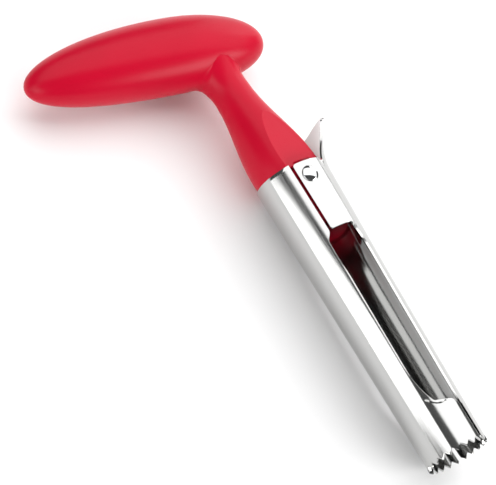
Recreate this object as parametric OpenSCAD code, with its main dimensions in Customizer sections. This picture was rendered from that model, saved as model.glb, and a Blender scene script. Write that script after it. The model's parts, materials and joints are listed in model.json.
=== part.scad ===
// Hinged apple corer, lying on its side as it comes to rest.
// +X runs along the tube towards the toothed mouth, +Y towards the thumb tab, +Z up.
// Every piece is drawn about the tube's axis, with X = 0 at the collar, and then laid down by lay().

/* [Tube] */
// Length of the toothed tube, from the collar to the tips of the teeth
tube_len = 125.7; // [110:0.5:140]
// Outer diameter of the tube at the collar
collar_d = 28.4; // [26:0.1:31]
// Outer diameter of the tube at the mouth
mouth_d = 24.8; // [22:0.1:26]
// Thickness of the stainless sheet
sheet = 0.8; // [0.6:0.1:1]
// Number of teeth round the mouth, an even number
teeth = 22; // [16:2:28]
// Depth of the notches between the teeth
tooth_depth = 2; // [1.2:0.1:2.8]

/* [Split] */
// How far behind the axis the seam between the two halves starts at the collar
seam_back = 4.65; // [4:0.05:5.4]
// Angle of the upper seam to the axis, in degrees
seam_lean = 1.3; // [0.5:0.1:2.5]
// Gap between the rear shell and the jaw along the upper seam
seam_gap = 1.15; // [1.1:0.05:1.4]
// Gap between the two halves along the lower seam
lower_gap = 1.25; // [0.8:0.05:1.6]
// How far in front of the axis the lower seam starts
lower_seam_front = 6.4; // [5:0.1:7]
// Angle of the lower seam to the axis, in degrees
lower_seam_lean = 2; // [0.5:0.1:4]

/* [Windows] */
// Distance from the collar to the square top edge of the side windows
window_top = 29.4; // [26:0.2:36]
// Distance from the collar to the bottom of the side windows
window_end = 107.2; // [98:0.2:112]
// How far the windows' top edge reaches in front of the axis
window_top_front = 5.8; // [4:0.1:7]
// Height of the jaw's front strip beside the windows, as seen from the side
strip_h = 2.2; // [1.5:0.1:3.5]
// How far behind the axis the windows' straight rear edge lies
window_back = 6.5; // [5.5:0.1:7.5]
// Length of the curve that ends the windows in the rear shell
window_curve_l = 18; // [10:0.5:30]
// Length of the sweep from the windows' top edge down into the front strip
strip_top_l = 12.5; // [9:0.5:18]
// Length of the sweep from the front strip back to the lower seam
strip_foot_l = 14; // [10:0.5:18]

/* [Thumb tab] */
// Height of the tab's tip above the collar
tab_rise = 15.3; // [11:0.1:18]
// Half of the tab's width at its root
tab_root_half = 11.2; // [9:0.1:11.5]
// Half of the tab's width at its upper corners
tab_tip_half = 10.2; // [7:0.1:11]
// Distance below the collar at which the jaw starts to flare
flare_start = 7.2; // [6:0.1:10]
// Radius of the bend into the flare
flare_r = 22.6; // [15:0.2:35]
// Lean of the tab to the axis, in degrees
tab_lean = 28; // [20:1:38]

/* [Hinge rivet] */
// Distance from the collar to the rivet
rivet_x = 6.4; // [6:0.1:8]
// Diameter of the rivet's shank
rivet_d = 4; // [3:0.1:4.6]
// Diameter of the rivet's domed heads
rivet_head_d = 6.6; // [5.8:0.1:8]
// Height of the rivet's domed heads
rivet_head_h = 1.3; // [0.8:0.1:2]
// Running clearance between the jaw and the rivet
hinge_play = 0.05; // [0.02:0.01:0.08]

/* [Handle] */
// Length of the egg-shaped grip across the top
grip_len = 101; // [85:1:115]
// Thickness of the grip along the tube
grip_h = 30; // [24:0.5:33]
// Width of the grip across the tube
grip_w = 28; // [23:0.5:30]
// Place of the grip's thickest section, from its long end, as a share of its length
grip_belly = 0.6; // [0.52:0.01:0.68]
// How far the grip reaches in front of the tube's axis
grip_front = 20.5; // [15:0.5:26]
// Angle by which the grip's long end is raised, in degrees
grip_raise = 8.8; // [0:0.2:12]
// How far the grip is bowed upwards at its middle
grip_bow = 1.5; // [0:0.1:3]
// Height of the grip's middle line above the collar at the tube's axis
grip_rise = 58; // [50:0.5:64]
// Clearance of the neck to the inside of the tube at the collar
neck_play = 0.4; // [0.4:0.05:0.6]
// Smallest diameter of the neck
neck_waist_d = 15.3; // [12:0.1:18]
// Height of the neck's waist above the collar
neck_waist_rise = 39.8; // [34:0.2:44]
// How far the neck's skin runs down into the tube
neck_foot = 1.1; // [0.9:0.1:1.5]
// How far the neck leans back at the collar
neck_set_back = 0.35; // [0.2:0.05:0.35]
// How far the neck leans back at its waist
neck_lean_back = 3.1; // [1:0.1:4]
// Length of the plug that reaches into the tube
plug_len = 20; // [14:0.5:24]
// Clearance between the plug and the jaw, which lets the jaw swing
plug_play = 1.8; // [1.2:0.1:2.4]

/* [Hidden] */

crimson = "crimson";
steel = "silver";

// Facets: round faces, rings of the lofts, and short arcs of an outline
round_n = 96;
ring_n = 32;
arc_n = 8;

collar_r = collar_d / 2;
mouth_r = mouth_d / 2;
eps = 0.01;
// How far a cutting outline runs past the piece that it cuts
over = 1;

// Outer and inner radius of the tube at a distance x from the collar
function out_r(x) = collar_r + (mouth_r - collar_r) * x / tube_len;
function in_r(x) = out_r(x) - sheet;

// The jaw's rear edge in side view, along the upper and the lower seam
slot_start = 2;
lower_seam_x = window_end + slot_start;
function seam_y(x) = -seam_back + tan(seam_lean) * x;
function lower_seam_y(x) = lower_seam_front + tan(lower_seam_lean) * (x - lower_seam_x);

// Points of an arc about c, from angle a0 to a1
function arc(c, r, a0, a1) =
    [for (i = [0:arc_n]) let (a = a0 + (a1 - a0) * i / arc_n) c + r * [cos(a), sin(a)]];

// The corner at b of an outline a, b, c, rounded to radius r
function unit(v) = v / norm(v);
function corner(a, b, c, r) =
    let (
        u = unit(a - b),
        v = unit(c - b),
        half = acos(u * v) / 2,
        m = b + unit(u + v) * r / sin(half),
        p = b + u * r / tan(half) - m,
        q = b + v * r / tan(half) - m,
        a0 = atan2(p[1], p[0]),
        turn = atan2(q[1], q[0]) - a0,
        short = turn > 180 ? turn - 360 : turn < -180 ? turn + 360 : turn
    )
    arc(m, r, a0, a0 + short);

// Grip: rings from the long end to the short end, each an ellipse across the middle line
grip_rings = 30;
grip_long = grip_len * grip_belly;
grip_short = grip_len - grip_long;
grip_fullness = 2.15;
end_x = -grip_rise - (grip_len * cos(grip_raise) - grip_front) * tan(grip_raise);
end_y = grip_front - grip_len * cos(grip_raise);
function grip_share(s) =
    let (t = s < grip_long ? (grip_long - s) / grip_long : (s - grip_long) / grip_short)
    pow(max(0, 1 - pow(t, grip_fullness)), 1 / grip_fullness);
function grip_middle(s) =
    let (bow = grip_bow * 4 * s / grip_len * (1 - s / grip_len))
    [end_x + s * sin(grip_raise) - bow * cos(grip_raise),
        end_y + s * cos(grip_raise) + bow * sin(grip_raise),
        0];
function grip_station(i) = grip_len * (1 - cos(180 * i / grip_rings)) / 2;
function grip_ring(i) =
    let (s = grip_station(i), c = grip_middle(s), k = grip_share(s))
    [for (j = [0:ring_n - 1])
        let (a = 360 * j / ring_n, up = grip_h / 2 * cos(a), side = grip_w / 2 * sin(a))
        c + k * [up * cos(grip_raise), -up * sin(grip_raise), side]];
grip_points = concat(
    [grip_middle(0)],
    [for (i = [1:grip_rings - 1]) each grip_ring(i)],
    [grip_middle(grip_len)]);

// Neck: rings from inside the tube up into the grip, narrowing to a waist and leaning back
neck_rings = 23;
neck_top_depth = 3;
neck_top_rise = grip_rise - neck_top_depth;
neck_r = in_r(0) - neck_play;
waist_r = neck_waist_d / 2;
neck_taper = 1.08;
neck_lean_curve = 0.95;
neck_spread = 45;
neck_top_slope = 1 / 6;
function neck_radius(h) =
    let (t = max(0, h / neck_waist_rise))
    t < 1 ? waist_r + (neck_r - waist_r) * (1 + cos(180 * pow(t, neck_taper))) / 2
        : waist_r + pow(h - neck_waist_rise, 2) / neck_spread;
function neck_shift(h) =
    let (t = max(0, h / neck_waist_rise))
    t < 1 ? neck_set_back + (neck_lean_back - neck_set_back) * pow(t, neck_lean_curve)
        : neck_lean_back + (h - neck_waist_rise) * neck_top_slope;
function neck_ring(i) =
    let (h = i == 0 ? -neck_foot : neck_top_rise * (i - 1) / (neck_rings - 1), r = neck_radius(h))
    [for (j = [0:ring_n - 1]) [-h, r * cos(360 * j / ring_n) - neck_shift(h), r * sin(360 * j / ring_n)]];

// Side facets of the neck, which meet its round face in a crease that leans forwards
crease_foot = [0, -5.9];
crease_head = [-24.8, -1.1];
facet_turn = 11;
function neck_side(p) = sqrt(pow(neck_radius(-p[0]), 2) - pow(p[1] + neck_shift(-p[0]), 2));
facet_foot_z = neck_side(crease_foot);
facet_head_z = neck_side(crease_head);
facet_rise = asin((tan(facet_turn) * (crease_head[1] - crease_foot[1]) + facet_head_z - facet_foot_z)
    / (crease_foot[0] - crease_head[0]));

// Tab: its meridian is an arc into a straight lean, its outline is seen from the front
tab_tip_x = -tab_rise;
flare_r0 = out_r(flare_start);
bend_x = flare_start - flare_r * sin(tab_lean);
bend_out = flare_r0 + flare_r * (1 - cos(tab_lean));
tab_crown = 2.2;
tab_corner_x = tab_tip_x + tab_crown;
tab_top_r = (pow(tab_tip_half, 2) + pow(tab_crown, 2)) / (2 * tab_crown);
tab_corner_r = 1.5;
crown_n = 6;
crown_span = 0.9;
tab_reach = bend_out + (bend_x - tab_tip_x) * tan(tab_lean);
root_x = 3.2;
notch_x = 1.6;
notch_r = 0.8;

// Box of the whole part, used to set the origin at the middle of its base
x_min = min([for (p = grip_points) p[0]]);
y_min = min([for (p = grip_points) p[1]]);
y_max = tab_reach;
reach_z = out_r(rivet_x) + hinge_play + rivet_head_h;
module lay() translate([-(tube_len + x_min) / 2, -(y_min + y_max) / 2, reach_z]) children();

// A closed skin over rings of points, with a point or a flat face at each end
module loft(points, rings, n) {
    skin = [for (i = [0:rings - 2]) each [for (j = [0:n - 1])
        [i * n + j, i * n + (j + 1) % n, (i + 1) * n + (j + 1) % n, (i + 1) * n + j]]];
    polyhedron(points, concat(skin, [[for (j = [n - 1:-1:0]) j], [for (j = [0:n - 1]) (rings - 1) * n + j]]));
}

module grip() {
    last = (grip_rings - 2) * ring_n;
    tip = len(grip_points) - 1;
    polyhedron(grip_points, concat(
        [for (j = [0:ring_n - 1]) [0, 1 + (j + 1) % ring_n, 1 + j]],
        [for (i = [0:grip_rings - 3]) each [for (j = [0:ring_n - 1])
            let (a = 1 + i * ring_n, b = a + ring_n, next = (j + 1) % ring_n)
            [a + j, a + next, b + next, b + j]]],
        [for (j = [0:ring_n - 1]) [tip, 1 + last + j, 1 + last + (j + 1) % ring_n]]));
}

// A solid of revolution about X, from points [x, radius]
module turned(profile) rotate([0, 90, 0])
    rotate_extrude($fn = round_n) polygon([for (p = profile) [p[1], p[0]]]);

// A side-view outline, given as [x, y], cut through from side to side
module side_cut(outline) linear_extrude(4 * collar_r, center = true) polygon(outline);

module facet_cutter() translate([crease_foot[0], crease_foot[1], facet_foot_z])
    rotate([0, facet_rise, 0]) rotate([-facet_turn, 0, 0])
    translate([-grip_rise, -collar_r, 0]) cube([grip_rise + 2 * neck_foot, 3 * collar_r, collar_r]);

module neck() difference() {
    loft([for (i = [0:neck_rings]) each neck_ring(i)], neck_rings + 1, ring_n);
    facet_cutter();
    mirror([0, 0, 1]) facet_cutter();
}

// Plug: a round core inside the jaw, and a saddle behind it that fills the rear shell
plug_r = in_r(plug_len) - plug_play;
module plug() {
    translate([-eps, 0, 0]) rotate([0, 90, 0]) cylinder(plug_len + eps, r = plug_r, $fn = round_n);
    intersection() {
        turned([[0, 0], [0, in_r(0)], [plug_len, in_r(plug_len)], [plug_len, 0]]);
        side_cut([
            [0, -2 * collar_r],
            [plug_len, -2 * collar_r],
            [plug_len, seam_y(plug_len) - seam_gap],
            [0, seam_y(0) - seam_gap]]);
    }
}

module rivet_hole(r) translate([rivet_x, 0, 0])
    cylinder(4 * collar_r, r = r, center = true, $fn = round_n);

module tooth_notches() {
    half = PI * mouth_r / teeth * (1 + over / tooth_depth);
    for (i = [0:teeth / 2 - 1])
        rotate([360 * (i + 0.5) / teeth, 0, 0])
            linear_extrude(4 * mouth_r, center = true)
                polygon([[tube_len - tooth_depth, 0], [tube_len + over, half], [tube_len + over, -half]]);
}

module cone_sheet(x0, x1) turned([[x0, in_r(x0)], [x0, out_r(x0)], [x1, out_r(x1)], [x1, in_r(x1)]]);

// Rear shell seen from the side: everything behind the seams and the window
step_l = 4.4;
seam_bend_r = 2;
step_bend_r = 5;
curve_x = window_end - window_curve_l;
curve_y = -1.3;
curve_n = 12;
horn = [window_end - 0.9, 1.3];
horn_r = 0.8;
slot_corner_r = 0.6;
shell_seam = [0, seam_y(0) - seam_gap];
seam_end = [window_top, seam_y(window_top) - seam_gap];
step_end = [window_top + step_l, -window_back];
curve_start = [curve_x, -window_back];
slot_head = [lower_seam_x, lower_seam_y(lower_seam_x) - lower_gap];
slot_foot = [tube_len + over, lower_seam_y(tube_len + over) - lower_gap];
shell_outline = concat(
    [[-over, -2 * collar_r], [-over, seam_y(-over) - seam_gap]],
    corner(shell_seam, seam_end, step_end, seam_bend_r),
    corner(seam_end, step_end, curve_start, step_bend_r),
    [for (i = [0:curve_n])
        let (a = 90 * i / curve_n)
        [curve_x + window_curve_l * sin(a), curve_y - (window_back + curve_y) * cos(a)]],
    corner([window_end, curve_y], horn, slot_head, horn_r),
    corner(horn, slot_head, slot_foot, slot_corner_r),
    [slot_foot, [tube_len + over, -2 * collar_r]]);

// Jaw seen from the side: the ears, the strip in front of the windows, and the toothed foot
ear_shoulder = [1, 8];
ear_crest = [0.8, 0];
ear_back = [0.7, seam_y(0.7)];
ear_heel = [window_top, seam_y(window_top)];
ear_toe = [window_top, window_top_front];
ear_back_r = 1.2;
ear_heel_r = 0.8;
strip_a = window_top + strip_top_l;
strip_b = lower_seam_x - strip_foot_l;
strip_ya = out_r(strip_a) - strip_h;
strip_yb = out_r(strip_b) - strip_h;
function sweep_r(dx, dy) = (dx * dx + dy * dy) / (2 * dy);
upper_r = sweep_r(strip_top_l, strip_ya - window_top_front);
lower_r = sweep_r(strip_foot_l, strip_yb - lower_seam_front);
upper_sweep = asin(strip_top_l / upper_r);
lower_sweep = asin(strip_foot_l / lower_r);
jaw_outline = concat(
    [[root_x, 2 * collar_r], [root_x, tab_root_half], ear_shoulder, ear_crest],
    corner(ear_crest, ear_back, ear_heel, ear_back_r),
    corner(ear_back, ear_heel, ear_toe, ear_heel_r),
    [for (i = [0:arc_n])
        let (a = upper_sweep * (1 - i / arc_n))
        [strip_a - upper_r * sin(a), strip_ya - upper_r * (1 - cos(a))]],
    [for (i = [0:arc_n])
        let (a = lower_sweep * i / arc_n)
        [strip_b + lower_r * sin(a), strip_yb - lower_r * (1 - cos(a))]],
    [[tube_len + over, lower_seam_y(tube_len + over)], [tube_len + over, 2 * collar_r]]);

// The tab seen from the front, as [x, z]: side edges, rounded corners and a crowned top
tab_side = [tab_corner_x, tab_tip_half];
tab_half_outline = concat(
    [[root_x, tab_root_half]],
    corner([root_x, tab_root_half], tab_side, [tab_tip_x, 0], tab_corner_r),
    [for (i = [2:crown_n])
        let (z = crown_span * tab_tip_half * (1 - i / crown_n))
        [tab_tip_x + tab_top_r - sqrt(pow(tab_top_r, 2) - z * z), z]]);
tab_outline = concat(
    [[flare_start, tab_root_half]],
    tab_half_outline,
    [for (i = [len(tab_half_outline) - 2:-1:0]) [tab_half_outline[i][0], -tab_half_outline[i][1]]],
    [[flare_start, -tab_root_half]]);
module tab_block() rotate([-90, 0, 0])
    linear_extrude(3 * collar_r) polygon([for (p = tab_outline) [p[0], -p[1]]]);

// Meridian of the flared sheet, outer side and then inner side
flare_end_x = tab_tip_x - over;
flare_end_out = bend_out + (bend_x - flare_end_x) * tan(tab_lean);
flare_out = concat(
    [[flare_start, flare_r0]],
    [for (i = [1:arc_n])
        let (a = tab_lean * i / arc_n)
        [flare_start - flare_r * sin(a), flare_r0 + flare_r * (1 - cos(a))]],
    [[flare_end_x, flare_end_out]]);
flare_in = concat(
    [[flare_end_x, flare_end_out - sheet / cos(tab_lean)]],
    [for (i = [arc_n:-1:1])
        let (a = tab_lean * i / arc_n, r = flare_r + sheet)
        [flare_start - r * sin(a), flare_r0 + flare_r - r * cos(a)]],
    [[flare_start, flare_r0 - sheet]]);

module handle() color(crimson) lay() difference() {
    union() {
        grip();
        neck();
        plug();
    }
    rivet_hole(rivet_d / 2);
}

module rear_shell() color(steel) lay() difference() {
    intersection() {
        cone_sheet(0, tube_len);
        side_cut(shell_outline);
    }
    tooth_notches();
}

module jaw() color(steel) lay() difference() {
    union() {
        difference() {
            intersection() {
                cone_sheet(0, tube_len);
                side_cut(jaw_outline);
            }
            translate([flare_start - collar_r, 0, -tab_root_half])
                cube([collar_r, 2 * collar_r, 2 * tab_root_half]);
        }
        intersection() {
            turned(concat(flare_out, flare_in));
            tab_block();
        }
    }
    rivet_hole(rivet_d / 2 + hinge_play);
    for (s = [-1, 1])
        translate([notch_x, 0, s * (tab_root_half + notch_r / 2)])
            rotate([-90, 0, 0])
            cylinder(2 * collar_r, r = notch_r, $fn = ring_n);
    tooth_notches();
}

// A dome of the given rim diameter and height, with its flat underside at z = 0
module dome(d, h) {
    r = (d * d / 4 + h * h) / (2 * h);
    intersection() {
        translate([0, 0, h - r]) sphere(r, $fn = round_n);
        cylinder(h, r = d, $fn = round_n);
    }
}

module hinge_rivet() color(steel) lay() translate([rivet_x, 0, 0]) {
    seat = out_r(rivet_x) + hinge_play;
    cylinder(2 * seat + eps, r = rivet_d / 2, center = true, $fn = round_n);
    translate([0, 0, seat]) dome(rivet_head_d, rivet_head_h);
    mirror([0, 0, 1]) translate([0, 0, seat]) dome(rivet_head_d, rivet_head_h);
}

handle();
rear_shell();
jaw();
hinge_rivet();
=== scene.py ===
"""Looks of a hinged apple corer: its crimson handle, the split steel tube with the thumb tab, and the rivet.

The toothed tube is two pieces of stainless sheet. Each starts as a flat blank, is laid out to its outline,
rolled round the handle's plug and given its thickness. The handle is one moulding, drawn from the grip down.
Lengths are in metres and angles in radians. Places along the tube are measured from the collar, where the
tube meets the handle, with +X towards the teeth, +Y towards the thumb tab and +Z along the rivet.
"""

import json
import math

import bmesh
import bpy
from bpy.props import FloatProperty, FloatVectorProperty, IntProperty, PointerProperty, StringProperty
from mathutils import Matrix, Vector


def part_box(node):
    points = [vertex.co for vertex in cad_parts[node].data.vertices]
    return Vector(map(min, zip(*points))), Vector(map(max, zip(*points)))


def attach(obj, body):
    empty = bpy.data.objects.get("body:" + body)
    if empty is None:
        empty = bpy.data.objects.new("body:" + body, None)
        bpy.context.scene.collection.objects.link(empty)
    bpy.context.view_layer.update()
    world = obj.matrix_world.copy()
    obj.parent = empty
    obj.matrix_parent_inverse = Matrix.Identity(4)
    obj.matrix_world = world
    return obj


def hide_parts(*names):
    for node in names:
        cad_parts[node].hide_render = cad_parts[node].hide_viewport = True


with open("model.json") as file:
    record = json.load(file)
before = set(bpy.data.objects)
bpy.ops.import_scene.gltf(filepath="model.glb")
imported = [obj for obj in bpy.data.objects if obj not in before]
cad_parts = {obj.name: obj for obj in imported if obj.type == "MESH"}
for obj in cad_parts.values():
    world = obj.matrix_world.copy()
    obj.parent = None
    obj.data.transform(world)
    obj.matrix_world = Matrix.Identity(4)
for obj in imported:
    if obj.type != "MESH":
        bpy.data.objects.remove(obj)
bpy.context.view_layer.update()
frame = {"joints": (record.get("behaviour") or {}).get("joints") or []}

bl_info = {
    "name": "Hinged apple corer",
    "version": (1, 0, 0),
    "blender": (4, 5, 0),
    "location": "3D View > Sidebar > Corer",
    "description": "Builds a hinged apple corer with a toothed steel tube and a moulded cross grip",
    "category": "Object",
}

MM = 0.001

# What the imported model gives: the hinge's axis crosses the tube's axis, and the rear shell starts at the collar.
HINGE = Vector(frame["joints"][0]["pos_m"])
SHELL_LOW, SHELL_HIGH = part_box("rear_shell")
JAW_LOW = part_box("jaw")[0]
HANDLE_LOW, HANDLE_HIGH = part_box("handle")
RIVET_LOW, RIVET_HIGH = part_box("hinge_rivet")
COLLAR = Vector((SHELL_LOW.x, HINGE.y, HINGE.z))


def size(label, about, default, low, high):
    """A length that a user may change."""
    return FloatProperty(name=label, description=about, default=default, min=low, max=high,
                         precision=5, subtype="DISTANCE", unit="LENGTH")


def angle(label, about, degrees):
    """An angle that a user may change, given here in degrees."""
    return FloatProperty(name=label, description=about, default=math.radians(degrees),
                         subtype="ANGLE", unit="ROTATION")


def share(label, about, default, low=0.0, high=1.0):
    """A plain number that a user may change."""
    return FloatProperty(name=label, description=about, default=default, min=low, max=high, precision=3)


def watts(label, about, default):
    """The power of a light, which a user may change."""
    return FloatProperty(name=label, description=about, default=default, min=0.0)


def paint(label, about, default):
    """A colour that a user may change, as an sRGB hex value."""
    return StringProperty(name=label, description=about, default=default)


class CorerTube(bpy.types.PropertyGroup):
    """Sizes of the toothed tube that both of its halves share."""

    length: size("Length", "Collar to the tips of the teeth", SHELL_HIGH.x - SHELL_LOW.x, 0.09, 0.16)
    collar_r: size("Collar radius", "Outer radius at the collar", COLLAR.y - SHELL_LOW.y, 0.012, 0.017)
    mouth_r: size("Mouth radius", "Outer radius at the teeth", 12.4 * MM, 0.01, 0.015)
    sheet: size("Sheet", "Thickness of the stainless sheet", 0.8 * MM, 0.0004, 0.0012)
    cut_round: size("Cut edge", "Rounding of the sheet's cut edges", 0.13 * MM, 0.0, 0.0003)
    teeth: IntProperty(name="Teeth", description="Number of teeth round the mouth", default=22, min=12, max=32)
    tooth_depth: size("Tooth depth", "Depth of the notches between the teeth", 2 * MM, 0.001, 0.003)
    seam_back: size("Seam start", "Upper seam's distance behind the axis at the collar", 4.65 * MM, 0.004, 0.006)
    seam_lean: angle("Seam lean", "Angle of the upper seam to the axis", 1.3)
    seam_gap: size("Seam gap", "Gap between the halves along the upper seam", 1.15 * MM, 0.0005, 0.002)
    lower_gap: size("Lower gap", "Gap between the halves along the lower seam", 1.25 * MM, 0.0008, 0.002)
    lower_front: size("Lower seam", "How far in front of the axis the lower seam starts", 6.4 * MM, 0.005, 0.007)
    lower_lean: angle("Lower lean", "Angle of the lower seam to the axis", 2)
    window_top: size("Window top", "Collar to the windows' square top edge", 29.4 * MM, 0.025, 0.036)
    window_end: size("Window end", "Collar to the bottom of the windows", 107.2 * MM, 0.09, 0.115)
    foot_drop: size("Foot", "Bottom of the windows to the start of the lower seam", 2 * MM, 0.001, 0.004)
    window_back: size("Window back", "How far behind the axis the windows reach", 7.1 * MM, 0.005, 0.008)
    window_step: size("Window step", "Length of the edge's step back below the ears", 4.4 * MM, 0.002, 0.008)
    window_curve: size("Window curve", "Length of the curve that ends the windows", 22 * MM, 0.01, 0.03)
    curve_back: size("Curve end", "How far behind the axis that curve ends", 1.3 * MM, 0.0, 0.003)
    horn_rise: size("Horn", "Height of the shell's rounded horn between window and seam", 1.7 * MM, 0.0, 0.003)
    window_front: size("Window front", "How far in front of the axis the top edge reaches", 5.8 * MM, 0.004, 0.007)
    strip: size("Front strip", "Height of the jaw's front strip beside the windows", 6.2 * MM, 0.0015, 0.0063)
    upper_sweep: size("Upper sweep", "Length of the curve from top edge to strip", 12.5 * MM, 0.005, 0.02)
    lower_sweep: size("Lower sweep", "Length of the curve from strip to foot", 14 * MM, 0.005, 0.02)


class CorerTab(bpy.types.PropertyGroup):
    """Sizes of the jaw's ears, thumb tab and swell."""

    rise: size("Rise", "Height of the tab's tip above the collar", SHELL_LOW.x - JAW_LOW.x, 0.01, 0.02)
    root_half: size("Root half", "Half of the tab's width at its root", 11.2 * MM, 0.008, 0.013)
    tip_half: size("Tip half", "Half of the tab's width at its upper corners", 10.2 * MM, 0.006, 0.012)
    crown: size("Crown", "How far the tab's top edge is crowned", 2.2 * MM, 0.0, 0.004)
    corner_r: size("Corner", "Rounding of the tab's upper corners", 1.6 * MM, 0.0005, 0.004)
    flare_start: size("Flare start", "Distance below the collar at which the flare starts", 7.2 * MM, 0.004, 0.012)
    flare_r: size("Flare bend", "Radius of the bend into the flare", 22.6 * MM, 0.012, 0.035)
    lean: angle("Lean", "Lean of the tab to the axis", 28)
    root_x: size("Root", "Distance below the collar of the tab's root", 3.2 * MM, 0.002, 0.005)
    notch_x: size("Notch", "Distance below the collar of the notch beside the tab", 1.6 * MM, 0.001, 0.004)
    notch_r: size("Notch radius", "Radius of that notch", 0.8 * MM, 0.0004, 0.0014)
    ear_top: size("Ear top", "Distance of the ears' top edge below the collar", 0.8 * MM, 0.0005, 0.0015)
    ear_drop: size("Ear drop", "How far the ears' top edge drops towards the notch", 0.2 * MM, 0.0, 0.001)
    ear_corner: size("Ear corner", "Rounding of the ears' upper rear corner", 1.2 * MM, 0.0005, 0.003)
    foot_corner: size("Ear foot corner", "Rounding of the ears' lower rear corner", 0.8 * MM, 0.0005, 0.003)
    swell: size("Swell", "How far the jaw's front is pressed out below the tab", 0.9 * MM, 0.0, 0.002)
    swell_x: size("Swell place", "Distance below the collar of the fullest swell", 7.2 * MM, 0.0, 0.02)
    swell_below: size("Swell below", "Length over which the swell fades towards the teeth", 50 * MM, 0.02, 0.08)
    swell_above: size("Swell above", "Length over which the swell fades towards the tip", 18 * MM, 0.005, 0.022)
    swell_reach: angle("Swell width", "Angle round the tube at which the swell has gone", 62)


class CorerHandle(bpy.types.PropertyGroup):
    """Sizes of the one-piece moulded handle."""

    grip_len: size("Grip length", "Length of the egg-shaped grip across the top", 101 * MM, 0.08, 0.12)
    grip_h: size("Grip thickness", "Thickness of the grip along the tube", 30 * MM, 0.02, 0.035)
    grip_w: size("Grip width", "Width of the grip across the tube", HANDLE_HIGH.z - HANDLE_LOW.z, 0.02, 0.032)
    belly: share("Belly", "Place of the thickest section, from the long end", 0.6, 0.5, 0.7)
    fullness: share("Fullness", "How full the grip's ends are, 2 being an ellipse", 2.15, 2.0, 2.6)
    front: size("Grip front", "How far the grip reaches in front of the tube's axis", 20.5 * MM, 0.01, 0.03)
    raise_angle: angle("Grip raise", "Angle by which the long end is raised", 8.8)
    bow: size("Grip bow", "How far the grip is bowed upwards at its middle", 1.5 * MM, 0.0, 0.004)
    grip_rise: size("Grip rise", "Height of the grip's middle line above the collar", 58 * MM, 0.045, 0.07)
    neck_r: size("Neck radius", "Radius of the neck at the collar", 13 * MM, 0.01, 0.014)
    neck_foot: size("Neck foot", "How far the neck's skin runs down into the tube", 1.1 * MM, 0.0009, 0.0015)
    waist_r: size("Waist radius", "Smallest radius of the neck", 7.65 * MM, 0.005, 0.01)
    waist_rise: size("Waist rise", "Height of the waist above the collar", 39.8 * MM, 0.03, 0.045)
    set_back: size("Neck set back", "How far the neck leans back at the collar", 0.35 * MM, 0.0, 0.0004)
    lean_back: size("Neck lean back", "How far the neck leans back at its waist", 3.1 * MM, 0.0, 0.005)
    fillet_rear: size("Rear fillet", "Reach of the grip's fillet behind the neck", 4.5 * MM, 0.001, 0.008)
    fillet_front: size("Front fillet", "Reach of the grip's fillet before the neck", 1.6 * MM, 0.001, 0.008)
    crease_y: size("Crease foot", "How far behind the axis the side facet's crease starts", 5.9 * MM, 0.003, 0.008)
    crease_rise: size("Crease height", "Height of the crease's upper end above the collar", 24.8 * MM, 0.015, 0.03)
    crease_head_y: size("Crease head", "How far behind the axis the crease ends", 1.1 * MM, 0.0, 0.004)
    facet_turn: angle("Facet turn", "Angle by which the side facets turn towards the front", 11)
    crease_round: size("Crease rounding", "Rounding of the crease", 0.5 * MM, 0.0001, 0.002)
    plug_len: size("Plug length", "How far the plug reaches into the tube", 20 * MM, 0.014, 0.024)
    plug_r: size("Plug radius", "Radius of the plug inside the jaw", 11.3 * MM, 0.009, 0.0124)


class CorerRivet(bpy.types.PropertyGroup):
    """Sizes of the hinge rivet."""

    head_r: size("Head radius", "Radius of the domed heads", (RIVET_HIGH.x - RIVET_LOW.x) / 2, 0.002, 0.005)
    head_h: size("Head height", "Height of the domed heads", 1.3 * MM, 0.0005, 0.003)
    shank_r: size("Shank radius", "Radius of the shank", 2 * MM, 0.001, 0.0026)
    rim: size("Rim", "Height of the small upright rim under a dome", 0.18 * MM, 0.0, 0.0005)
    play: size("Play", "Clearance between the heads and the jaw", 0.05 * MM, 0.0, 0.0002)


class CorerFinish(bpy.types.PropertyGroup):
    """Colours and gloss of the corer and its floor."""

    crimson: paint("Crimson", "Colour of the moulded handle", "C40B2D")
    crimson_deep: paint("Deep crimson", "The moulding's colour where the pigment is densest", "BA0828")
    steel: paint("Steel", "Reflected colour of the stainless sheet", "BEBEBD")
    rivet: paint("Rivet steel", "Reflected colour of the polished rivet", "CACACB")
    floor: paint("Floor", "Colour of the white floor", "FAFAFA")
    plastic_gloss: share("Handle roughness", "Roughness of the moulded handle", 0.3)
    steel_gloss: share("Sheet roughness", "Roughness of the polished sheet", 0.1)
    rivet_gloss: share("Rivet roughness", "Roughness of the rivet's dome", 0.07)


class CorerStage(bpy.types.PropertyGroup):
    """The camera's place and the lights' power."""

    camera_at: FloatVectorProperty(name="Camera", description="Place of the camera", size=3, subtype="TRANSLATION",
                                   unit="LENGTH", default=(0.374706, -0.725751, 1.249908))
    camera_turn: FloatVectorProperty(name="Camera turn", description="Camera's right-hand direction, as a vector",
                                     size=3, subtype="DIRECTION", default=(0.4955, 0.8072, 0.3207))
    camera_out: FloatVectorProperty(name="Camera out", description="Direction from the object to the camera",
                                    size=3, subtype="DIRECTION", default=(0.2564, -0.4887, 0.8339))
    lens: share("Lens", "Focal length in millimetres", 288.0, 20.0, 400.0)
    rear_light: watts("Rear light", "Power of the rear strip light in watts", 1.8)
    top_light: watts("Top light", "Power of the overhead softbox in watts", 21.5)
    top_turn: angle("Top light turn", "Angle of the overhead softbox's long side to the tube", 63)
    front_light: watts("Front light", "Power of the front softbox in watts", 4.2)
    end_light: watts("End light", "Power of the end softbox in watts", 6.5)
    low_light: watts("Low light", "Power of the low softbox in watts", 6.5)
    dim: share("Surroundings", "Brightness of the dim studio", 0.1)


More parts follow.
